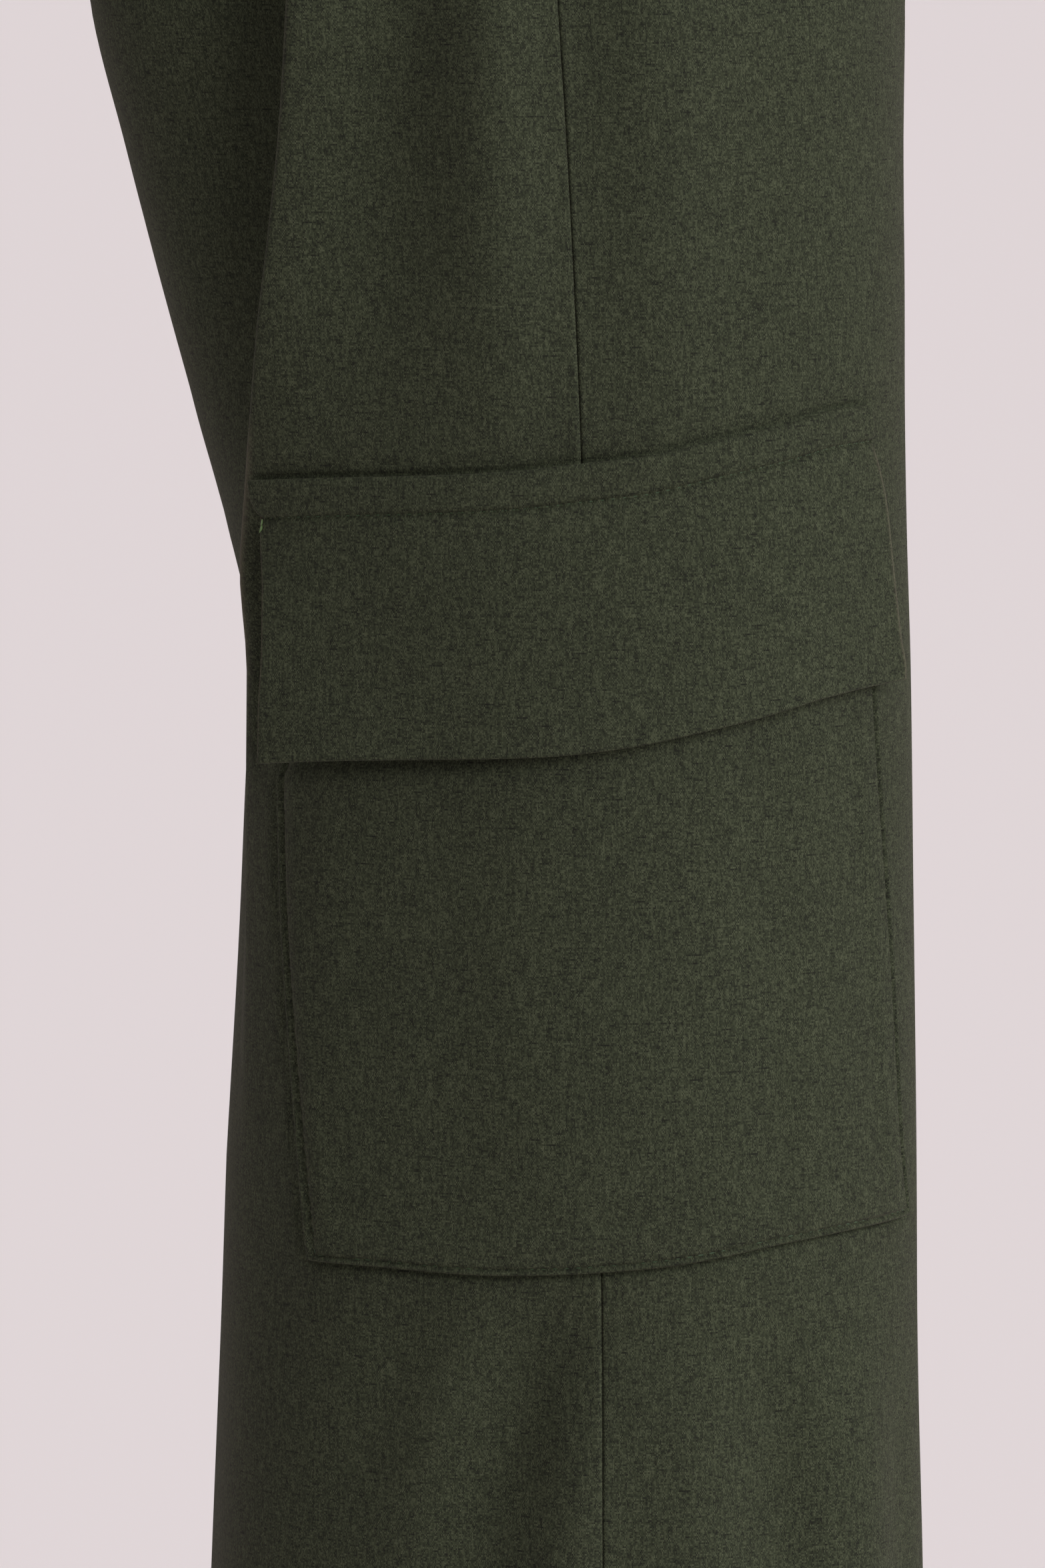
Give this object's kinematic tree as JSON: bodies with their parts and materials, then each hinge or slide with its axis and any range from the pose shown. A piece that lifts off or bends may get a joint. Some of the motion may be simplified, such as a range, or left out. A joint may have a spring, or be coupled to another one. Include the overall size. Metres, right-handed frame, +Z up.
{
  "type": "palazzo trousers",
  "caption": "Wide-leg palazzo trousers in olive suiting, hollow as worn, with a plain waistband, fly zip, waist button and a flapped patch pocket over each side seam.",
  "frame": {"origin": "centre of the waist opening, level with the top of the waistband, where the wearer's waist holds the trousers up", "axes": "+Z up, +X to the wearer's left, -Y to the wearer's front"},
  "size_m": [0.4395, 0.2486, 1.0502],
  "materials": {
    "suiting": "olive melange plain-weave suiting, matt with a faint sheen",
    "horn_button": "dark horn-like plastic, satin",
    "zip": "olive tape and coil, matt"
  },
  "bodies": {
    "root": {"waistband": "suiting", "front_right": "suiting", "front_left": "suiting", "back_right": "suiting", "back_left": "suiting", "pocket_right": "suiting", "pocket_left": "suiting", "flap_right": "suiting", "flap_left": "suiting", "waist_button": "horn_button", "fly_zip": "zip"}
  },
  "joints": []
}
